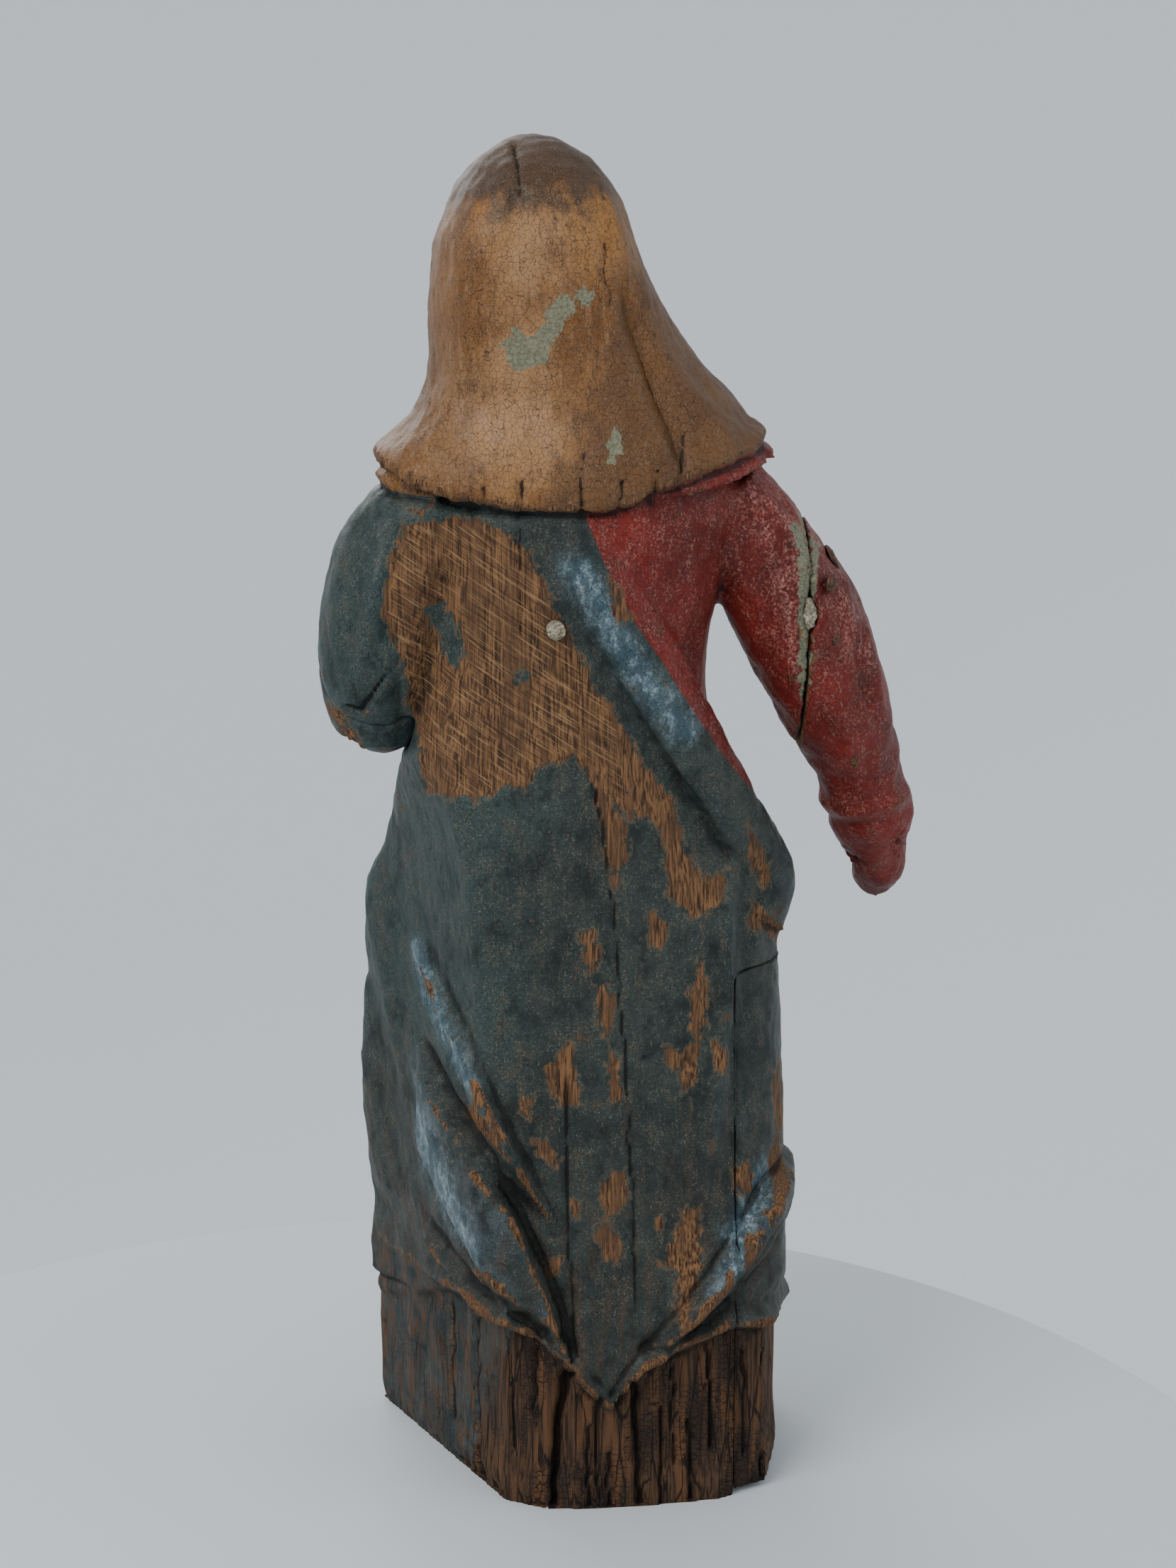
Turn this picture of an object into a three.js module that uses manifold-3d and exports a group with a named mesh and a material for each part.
// Standing madonna in carved, painted wood: an old church figure glued up from several timbers.
// The frame is in millimetres, +Z up, with the origin at the middle of the plinth's underside.
// The figure faces -Y, so her left hand is at +X and her right hand at -X.
import * as THREE from 'three';
import { ParametricGeometry } from 'three/addons/geometries/ParametricGeometry.js';
import { mergeVertices } from 'three/addons/utils/BufferGeometryUtils.js';
import Module from 'manifold-3d';

const wasm = await Module();
wasm.setup();

// ---------------------------------------------------------------- driving sizes
const STATUE_HEIGHT = 852;
const SKIRT_WIDTH = 274;            // across the skirt at its widest
const SKIRT_DEPTH = 196;            // front to back at the plinth
const HEAD_WIDTH = 114;             // across the veiled head
const PLINTH_HEIGHT = 128;
const HEM_LIP = 4;                  // the mantle's hem stands out this far from the plinth
const HEM_POINT_DROP = 62;          // the hem dips this far to a point at the middle of the back
const VEIL_LIP = 6;                 // the veil's hem stands out this far from the back

const ARM_JOINT_OUT = 6;            // the open arm joint lies this far outside the skirt's right side
const ARM_JOINT_GAP = 1.4;          // the old glue line has opened
const SLEEVE_RADIUS = 30;           // right sleeve at the elbow
const WRIST_RADIUS = 9;             // broken end of the right wrist
const FOREARM_RADIUS = 32;          // left forearm inside the mantle
const BAND_WIDTH = 46;              // rolled band of the mantle across the back
const BAND_THICKNESS = 24;

const SIDE_TIMBER_THICKNESS = 43;   // right side timber, measured in from the skirt's right side
const SIDE_TIMBER_TOP = 344;
const SIDE_TIMBER_FOOT = 4;         // it ends this far above the floor

const DOWEL_RADIUS = 6;
const DOWEL_LENGTH = 50;
const PEG_RADIUS = 5;
const PEG_LENGTH = 44;
const HAND_DOWEL_RADIUS = 5;
const HAND_DOWEL_LENGTH = 34;
const NAIL_RADIUS = 2.2;
const NAIL_LENGTH = 48;
const NAIL_HEAD_RADIUS = 5.5;
const TOP_NAIL_HEAD_RADIUS = 9.5;
const NAIL_HEAD_HEIGHT = 3;
const PLUG_RADIUS = 6;
const PLUG_LENGTH = 9;
const FILLER_RADIUS = 9;
const FIT = 0.3;                    // clearance between pieces that touch

// The stations below are drawn for a figure of this height, width, depth and head width.
const DRAWN = { height: 852, width: 274, depth: 196, head: 114 };
const UP = STATUE_HEIGHT / DRAWN.height;
const ACROSS = SKIRT_WIDTH / DRAWN.width;
const DEEP = SKIRT_DEPTH / DRAWN.depth;
const HEAD = HEAD_WIDTH / DRAWN.head;

const SKIRT_RIGHT = -127 * ACROSS;
const ARM_JOINT_X = SKIRT_RIGHT - ARM_JOINT_OUT;
const SIDE_TIMBER_X = SKIRT_RIGHT + SIDE_TIMBER_THICKNESS;
const HEAD_SHIFT = 33 * ACROSS;     // the head leans to the figure's left
const FAR = 2 * STATUE_HEIGHT;

// ---------------------------------------------------------------- helpers
const V = (x, y, z) => new THREE.Vector3(x, y, z);
const at = (x, y, z) => V(x * ACROSS, y * DEEP, z * UP);

function solid(geometry) {
  const bare = geometry.clone();
  bare.deleteAttribute('normal');
  bare.deleteAttribute('uv');
  const merged = mergeVertices(bare, 1e-3);
  const index = Array.from(merged.index.array);
  const kept = [];
  for (let i = 0; i < index.length; i += 3) {
    const [a, b, c] = index.slice(i, i + 3);
    if (a !== b && b !== c && c !== a) kept.push(a, b, c);
  }
  return new wasm.Manifold(new wasm.Mesh({
    numProp: 3,
    vertProperties: Float32Array.from(merged.attributes.position.array),
    triVerts: Uint32Array.from(kept),
  }));
}

function geometryOf(manifold) {
  const mesh = manifold.getMesh();
  const geometry = new THREE.BufferGeometry();
  geometry.setAttribute('position', new THREE.BufferAttribute(new Float32Array(mesh.vertProperties), 3));
  geometry.setIndex(new THREE.BufferAttribute(new Uint32Array(mesh.triVerts), 1));
  geometry.computeVertexNormals();
  return geometry;
}

// A closed skin: rings point(angle, v) with a pole below the first ring and above the last.
function closedSkin(point, around, along, poleStart, poleEnd) {
  const place = (u, v, target) => {
    const step = Math.round(v * along);
    if (step === 0) return target.copy(poleStart);
    if (step === along) return target.copy(poleEnd);
    const angle = Math.round(u * around) % around / around * 2 * Math.PI;
    return target.copy(point(angle, (step - 1) / (along - 2)));
  };
  return solid(new ParametricGeometry(place, around, along));
}

// Smooth values between hand-set stations: a key is [position, value, value, ...].
function stations(keys) {
  const values = keys.flatMap((key) => key.slice(1));
  const interpolant = new THREE.CubicInterpolant(keys.map((key) => key[0]), values, keys[0].length - 1);
  return (position) => Array.from(interpolant.evaluate(position));
}

const signedPower = (value, power) => Math.sign(value) * Math.abs(value) ** power;
const smooth = (value, low, high) => THREE.MathUtils.smoothstep(value, low, high);

// A point on a squared oval that reaches right, left, front and back by different amounts.
function oval(angle, right, left, front, back, squareness) {
  const c = signedPower(Math.cos(angle), 2 / squareness);
  const s = signedPower(Math.sin(angle), 2 / squareness);
  const x = (left + right) / 2 + (left - right) / 2 * c;
  return V(x, s > 0 ? back * s : front * s, 0);
}

// A limb: an oval tube along a smooth route of [point, radius] stops.
function limb(route, extra = 0, around = 20, along = 16) {
  const curve = new THREE.CatmullRomCurve3(route.map((stop) => stop[0]));
  const radius = stations(route.map((stop, i) => [i, stop[1]]));
  const point = (angle, v) => {
    const centre = curve.getPoint(v);
    const ahead = curve.getTangent(v);
    const side = V(1, 0, 0).addScaledVector(ahead, -ahead.x).normalize();
    const out = V().crossVectors(ahead, side);
    const r = radius(v * (route.length - 1))[0] + extra;
    return centre.addScaledVector(side, r * Math.cos(angle)).addScaledVector(out, r * Math.sin(angle));
  };
  const start = curve.getPoint(0).addScaledVector(curve.getTangent(0), -extra);
  const end = curve.getPoint(1).addScaledVector(curve.getTangent(1), extra);
  return closedSkin(point, around, along, start, end);
}

// A cylinder from one point along a direction.
function rod(radius, from, direction, length, tipRadius = radius, sides = 14) {
  const geometry = new THREE.CylinderGeometry(tipRadius, radius, length, sides);
  geometry.translate(0, length / 2, 0);
  geometry.applyQuaternion(new THREE.Quaternion().setFromUnitVectors(V(0, 1, 0), direction.clone().normalize()));
  geometry.translate(from.x, from.y, from.z);
  return solid(geometry);
}

const box = (x0, x1, y0, y1, z0, z1) => solid(
  new THREE.BoxGeometry(x1 - x0, y1 - y0, z1 - z0).translate((x0 + x1) / 2, (y0 + y1) / 2, (z0 + z1) / 2));

// ---------------------------------------------------------------- skirt, torso and plinth
const PLINTH_BACK = 103;

// Stations of the body from hem to shoulders: height, right, left, front, back, squareness.
const bodyAt = stations([
  [40, -124, 154, 98, PLINTH_BACK + HEM_LIP / DEEP, 3.2],
  [130, -127, 156, 98, PLINTH_BACK + HEM_LIP / DEEP, 3.1],
  [200, -126, 160, 97, 98, 3.0],
  [273, -124, 160, 95, 91, 2.8],
  [342, -121, 152, 92, 86, 2.6],
  [399, -114, 137, 89, 81, 2.5],
  [445, -98, 123, 86, 78, 2.5],
  [500, -75, 113, 82, 74, 2.5],
  [550, -75, 106, 80, 71, 2.4],
  [600, -86, 104, 78, 72, 2.4],
  [640, -98, 104, 68, 71, 2.3],
  [676, -66, 78, 46, 52, 2.2],
]);
const BODY_TOP = 676;

// The back left of the log is split off flat: a plane facing back and left.
const SPLIT_NORMAL = V(0.916, 0.402, 0);
const splitDistance = (z) => 96 + 8 * smooth(z, 60, 200) + 60 * smooth(z, 420, 640);

// Heavy folds of the mantle: from, to as [x, z], half width, height, and which side they lie on.
const FOLDS = [
  { from: [146, 330], to: [82, 200], reach: 17, height: 9, side: 1 },
  { from: [118, 380], to: [62, 236], reach: 12, height: 6, side: 1 },
  { from: [142, 205], to: [68, 142], reach: 14, height: 7, side: 1 },
  { from: [-118, 204], to: [-52, 138], reach: 14, height: 8, side: 1 },
  { from: [-82, 400], to: [-70, 240], reach: 12, height: 5, side: 1 },
  { from: [-100, 420], to: [70, 250], reach: 20, height: 9, side: -1 },
  { from: [-104, 360], to: [40, 190], reach: 18, height: 9, side: -1 },
  { from: [118, 450], to: [60, 210], reach: 18, height: 8, side: -1 },
  { from: [-60, 200], to: [-70, 70], reach: 13, height: 7, side: -1 },
  { from: [-10, 170], to: [-14, 70], reach: 13, height: 7, side: -1 },
  { from: [50, 190], to: [52, 70], reach: 13, height: 7, side: -1 },
  { from: [110, 230], to: [112, 70], reach: 13, height: 7, side: -1 },
];

function foldRelief(x, z, side) {
  let relief = 0;
  for (const fold of FOLDS.filter((entry) => entry.side === side)) {
    const [ax, az] = fold.from;
    const [bx, bz] = fold.to;
    const along = ((x - ax) * (bx - ax) + (z - az) * (bz - az)) / ((bx - ax) ** 2 + (bz - az) ** 2);
    const t = THREE.MathUtils.clamp(along, 0, 1);
    const off = Math.hypot(x - ax - t * (bx - ax), z - az - t * (bz - az)) / fold.reach;
    relief = Math.max(relief, fold.height * Math.exp(-off * off));
  }
  return relief;
}

// Height of the hem around the skirt, in drawn millimetres.
const HEM_POINT_X = -2;
const HEM_SLOPE = 50;               // the hem is this much lower in front
function hemHeight(x, y) {
  const point = HEM_POINT_DROP / UP * Math.max(0, 1 - Math.abs(x - HEM_POINT_X) / 52);
  return (PLINTH_HEIGHT - HEM_LIP) / UP - HEM_SLOPE * smooth(-y, -90, 110) - (y > 0 ? point : 0);
}

function bodyPoint(angle, v) {
  const foot = oval(angle, -124, 150, 96, PLINTH_BACK, 3.2);
  const z = THREE.MathUtils.lerp(hemHeight(foot.x, foot.y), BODY_TOP, v);
  const p = oval(angle, ...bodyAt(z));
  const over = p.dot(SPLIT_NORMAL) - splitDistance(z);
  if (over > 0) p.addScaledVector(SPLIT_NORMAL, -over);
  const relief = foldRelief(p.x, z, Math.sign(p.y) || 1) * smooth(Math.abs(p.y), 10, 50);
  p.y += Math.sign(p.y) * relief;
  return at(p.x, p.y, z);
}

function body() {
  return closedSkin(bodyPoint, 60, 36, at(10, 0, 100), at(6, 0, BODY_TOP + 8));
}

// The plinth is the uncarved foot of the log, split roughly to shape with an axe.
function plinth() {
  const corners = [[135, -80], [63, 84], [38, 99], [6, PLINTH_BACK], [-26, PLINTH_BACK - 1], [-72, 98],
    [-108, 84], [-123, 30], [-124, -56], [-98, -90], [0, -95], [104, -92]];
  const shape = new THREE.Shape(corners.map(([x, y]) => new THREE.Vector2(x * ACROSS, y * DEEP)));
  const block = new THREE.ExtrudeGeometry(shape, { depth: PLINTH_HEIGHT, bevelEnabled: false });
  return solid(block);
}

// ---------------------------------------------------------------- head and veil
// Veil outside from hem to crown: height, right, left, front, back, squareness.
const veilAt = stations([
  [640, -124, 146, 62, 76, 2.3],
  [660, -119, 134, 60, 74, 2.3],
  [684, -96, 107, 54, 67, 2.2],
  [699, -82, 98, 51, 63, 2.2],
  [719, -63, 94, 49, 60, 2.3],
  [743, -46, 93, 48, 60, 2.5],
  [767, -33, 92, 48, 61, 2.6],
  [786, -25, 90, 48, 61, 2.5],
  [805, -19, 84, 46, 57, 2.4],
  [824, -10, 76, 40, 49, 2.2],
  [838, 1, 65, 30, 36, 2.1],
  [849, 18, 49, 12, 14, 2.0],
]);
const VEIL_TOP = 849;

function veilPoint(angle, v) {
  const low = 642 + 22 * Math.abs(Math.cos(angle)) ** 2;
  const z = THREE.MathUtils.lerp(low, VEIL_TOP, v);
  const p = oval(angle, ...veilAt(z));
  const grow = THREE.MathUtils.lerp(1, HEAD / ACROSS, smooth(z, 690, 740));
  p.x = 33 + (p.x - 33) * grow;
  return at(p.x, p.y + (p.y > 0 ? VEIL_LIP / DEEP - 6 : 0), z);
}

function ball(centre, rx, ry, rz) {
  return solid(new THREE.SphereGeometry(1, 18, 11).scale(rx, ry, rz).translate(centre.x, centre.y, centre.z));
}

function headAndVeil() {
  const veil = closedSkin(veilPoint, 40, 18, at(6, 0, 660), at(33, 0, 852));
  const face = V(HEAD_SHIFT, -20 * DEEP, 778 * UP);
  const opening = ball(V(face.x, -64 * DEEP, 776 * UP), 42 * HEAD, 46 * DEEP, 64 * UP);
  const head = ball(face, 36 * HEAD, 44 * DEEP, 54 * UP);
  const neck = rod(23 * HEAD, at(26, -8, 650), at(5, 0, 90), 100 * UP);
  return veil.subtract(opening).add(head).add(neck);
}

// ---------------------------------------------------------------- arms and mantle band
const rightArm = () => limb([
  [at(-76, 6, 634), 36],
  [at(-105, 6, 602), 36],
  [at(-129, 3, 560), 39],
  [at(-148, -1, 520), SLEEVE_RADIUS + 7],
  [at(-160, -6, 494), SLEEVE_RADIUS + 4],
  [at(-172, -14, 466), SLEEVE_RADIUS - 1],
  [at(-184, -26, 436), SLEEVE_RADIUS - 5],
  [at(-190, -36, 410), SLEEVE_RADIUS - 9],
  [at(-195, -46, 384), WRIST_RADIUS + 5],
  [at(-199, -53, 361), WRIST_RADIUS],
], 0, 18, 20);

const leftArm = (extra) => limb([
  [at(84, 4, 636), 44],
  [at(110, 4, 600), 44],
  [at(126, 3, 552), 42],
  [at(131, 0, 518), FOREARM_RADIUS + 5],
  [at(132, -2, 484), FOREARM_RADIUS - 7],
], extra, 18, 12).add(limb([
  [at(131, 14, 505), FOREARM_RADIUS - 9],
  [at(129, -10, 507), FOREARM_RADIUS + 3],
  [at(124, -50, 511), FOREARM_RADIUS],
  [at(114, -90, 520), FOREARM_RADIUS - 5],
  [at(99, -122, 532), FOREARM_RADIUS - 13],
], extra, 18, 12));

// The band runs from the back of the left shoulder to the right hip and round the front to the left forearm.
function band() {
  const route = new THREE.CatmullRomCurve3([
    at(34, 60, 648), at(-4, 68, 590), at(-44, 66, 520), at(-80, 56, 458), at(-101, 30, 416),
    at(-104, -14, 396), at(-86, -58, 402), at(-40, -82, 428), at(24, -88, 470), at(84, -78, 510),
  ]);
  const point = (angle, v) => {
    const centre = route.getPoint(v);
    const ahead = route.getTangent(v);
    const outward = V(centre.x, centre.y, 0).normalize();
    const out = outward.addScaledVector(ahead, -outward.dot(ahead)).normalize();
    const across = V().crossVectors(ahead, out);
    return centre.addScaledVector(out, BAND_THICKNESS / 2 * Math.sin(angle))
      .addScaledVector(across, -BAND_WIDTH / 2 * Math.cos(angle));
  };
  return closedSkin(point, 10, 30, route.getPoint(0), route.getPoint(1));
}

// The loose end of the band hangs as a pointed flap at the right hip.
const flap = () => limb([
  [at(-96, 26, 414), 17],
  [at(-106, 26, 392), 14],
  [at(-113, 24, 370), 8],
  [at(-119, 22, 356), 2.5],
], 0, 12, 8);

// ---------------------------------------------------------------- fasteners
// The elbow joint is a mitre that faces forward and down. The block takes in what lies outside the
// torso's left side or in front of its breast.
const ELBOW_INNER_X = 96;
const BREAST_Y = -60;
const elbowWay = V(0, -0.75, -0.66).normalize();
const elbowJoint = at(0, 22, 508);
function onElbowJoint(x, y) {
  const point = at(x, y, 0);
  point.z = elbowJoint.z - (point.y - elbowJoint.y) * elbowWay.y / elbowWay.z;
  return point;
}
function elbowRegion(extra) {
  const below = new THREE.BoxGeometry(FAR, FAR, FAR).translate(0, 0, FAR / 2);
  below.applyQuaternion(new THREE.Quaternion().setFromUnitVectors(V(0, 0, 1), elbowWay));
  const corner = elbowJoint.clone().addScaledVector(elbowWay, -extra);
  below.translate(corner.x, corner.y, corner.z);
  const outside = box(ELBOW_INNER_X * ACROSS - extra, FAR, -FAR, FAR, 0, FAR);
  const before = box(0, FAR, -FAR, BREAST_Y * DEEP + extra, 0, FAR);
  return solid(below).intersect(outside.add(before));
}

const armJointDowels = [
  { name: 'upper', centre: V(ARM_JOINT_X, -12 * DEEP, 566 * UP) },
  { name: 'lower', centre: V(ARM_JOINT_X, -14 * DEEP, 526 * UP) },
];
const sidePegs = [
  { name: 'upper', centre: V(SIDE_TIMBER_X, 0, 262 * UP) },
  { name: 'lower', centre: V(SIDE_TIMBER_X, 0, 92 * UP) },
];
const elbowDowels = [
  { name: 'upper', centre: onElbowJoint(121, -20) },
  { name: 'lower', centre: onElbowJoint(127, 5) },
];

const NAIL_LEAN = V(0.8, -0.6, 0);
const nails = [
  { name: 'top', head: at(-152, 8, 595), direction: V(0.9, 0, -0.42), headRadius: TOP_NAIL_HEAD_RADIUS },
  { name: 'upper', head: at(-147, 36, 584), direction: NAIL_LEAN, headRadius: NAIL_HEAD_RADIUS },
  { name: 'lower', head: at(-151, 35, 549), direction: NAIL_LEAN, headRadius: NAIL_HEAD_RADIUS },
];

function dowel(centre, direction, radius, length, extra = 0) {
  const half = length / 2 + extra;
  return rod(radius + extra, centre.clone().addScaledVector(direction, -half), direction, 2 * half);
}

function nail({ head, direction, headRadius }, extra = 0) {
  const way = direction.clone().normalize();
  const disc = rod(headRadius + extra, head.clone().addScaledVector(way, -extra), way, NAIL_HEAD_HEIGHT + 2 * extra);
  const shank = rod(NAIL_RADIUS + extra, head.clone().addScaledVector(way, NAIL_HEAD_HEIGHT / 2), way,
    NAIL_LENGTH + extra, NAIL_RADIUS / 3 + extra, 8);
  return disc.add(shank);
}

const filler = (extra) => ball(V(ARM_JOINT_X, 36 * DEEP, 566 * UP),
  FILLER_RADIUS - 3 + extra, FILLER_RADIUS - 2 + extra, FILLER_RADIUS + 3 + extra);

const plug = (extra) => rod(PLUG_RADIUS + extra, at(27, 76, 567), V(0, -1, 0), PLUG_LENGTH + extra, undefined, 9);

// ---------------------------------------------------------------- cutting the timbers apart
const X_AXIS = V(1, 0, 0);

const allNails = (extra) => nails.map((entry) => nail(entry, extra)).reduce((a, b) => a.add(b));
const allDowels = (list, direction, radius, length, extra) => list
  .map((entry) => dowel(entry.centre, direction, radius, length, extra)).reduce((a, b) => a.add(b));

const armHoles = allDowels(armJointDowels, X_AXIS, DOWEL_RADIUS, DOWEL_LENGTH, FIT)
  .add(allNails(FIT)).add(filler(FIT));
const pegHoles = allDowels(sidePegs, X_AXIS, PEG_RADIUS, PEG_LENGTH, FIT);
const elbowHoles = allDowels(elbowDowels, elbowWay, DOWEL_RADIUS - 1, DOWEL_LENGTH - 6, FIT);

const carved = body().add(plinth()).add(headAndVeil()).add(band()).add(flap());
const armSide = (x) => box(-FAR, x, -FAR, FAR, -FAR, FAR);
const timberSide = (inset) => box(-FAR, SIDE_TIMBER_X - inset, -FAR, FAR,
  inset ? SIDE_TIMBER_FOOT : -FAR, (SIDE_TIMBER_TOP - inset) * UP);

const forearmSocket = leftArm(FIT).intersect(elbowRegion(FIT));
const trunkCore = carved.add(leftArm(0)).add(rightArm())
  .subtract(armSide(ARM_JOINT_X + ARM_JOINT_GAP / 2))
  .subtract(timberSide(0))
  .subtract(forearmSocket)
  .subtract(armHoles).subtract(pegHoles).subtract(elbowHoles)
  .subtract(plug(FIT));
const rightArmBlock = rightArm().intersect(armSide(ARM_JOINT_X - ARM_JOINT_GAP / 2)).subtract(armHoles);
const sideTimber = carved.intersect(timberSide(FIT)).subtract(pegHoles);

const handDowelAt = at(99, -112, 530);
const handWay = V(-0.3, -0.92, 0.25).normalize();
const handDowel = (extra) => rod(HAND_DOWEL_RADIUS + extra, handDowelAt.clone().addScaledVector(handWay, -extra),
  handWay, HAND_DOWEL_LENGTH + extra);
const forearmBlock = leftArm(0).intersect(elbowRegion(0)).subtract(elbowHoles).subtract(handDowel(FIT));

// ---------------------------------------------------------------- named pieces
const figure = new THREE.Group();
function piece(name, manifold, color, roughness, metalness = 0) {
  const mesh = new THREE.Mesh(geometryOf(manifold), new THREE.MeshStandardMaterial({ color, roughness, metalness }));
  mesh.name = name;
  figure.add(mesh);
}

piece('trunk_core', trunkCore, 0x34484c, 0.75);
piece('right_side_timber', sideTimber, 0x3c4a48, 0.8);
piece('right_arm_block', rightArmBlock, 0x7a231d, 0.65);
piece('left_forearm_block', forearmBlock, 0x35494e, 0.75);
for (const { name, centre } of armJointDowels) {
  piece(`right_arm_dowel_${name}`, dowel(centre, X_AXIS, DOWEL_RADIUS, DOWEL_LENGTH), 0x8a6440, 0.7);
}
for (const { name, centre } of elbowDowels) {
  piece(`left_forearm_dowel_${name}`, dowel(centre, elbowWay, DOWEL_RADIUS - 1, DOWEL_LENGTH - 6), 0x8a6440, 0.7);
}
for (const { name, centre } of sidePegs) {
  piece(`side_timber_peg_${name}`, dowel(centre, X_AXIS, PEG_RADIUS, PEG_LENGTH), 0x8a6440, 0.7);
}
piece('left_hand_dowel', handDowel(0), 0x8a6440, 0.7);
for (const entry of nails) piece(`arm_nail_${entry.name}`, nail(entry), 0x3a2a24, 0.6, 0.7);
piece('arm_joint_filler', filler(0), 0xb5ab94, 0.9);
piece('back_plug', plug(0), 0xd8d2c4, 0.9);

export default figure;
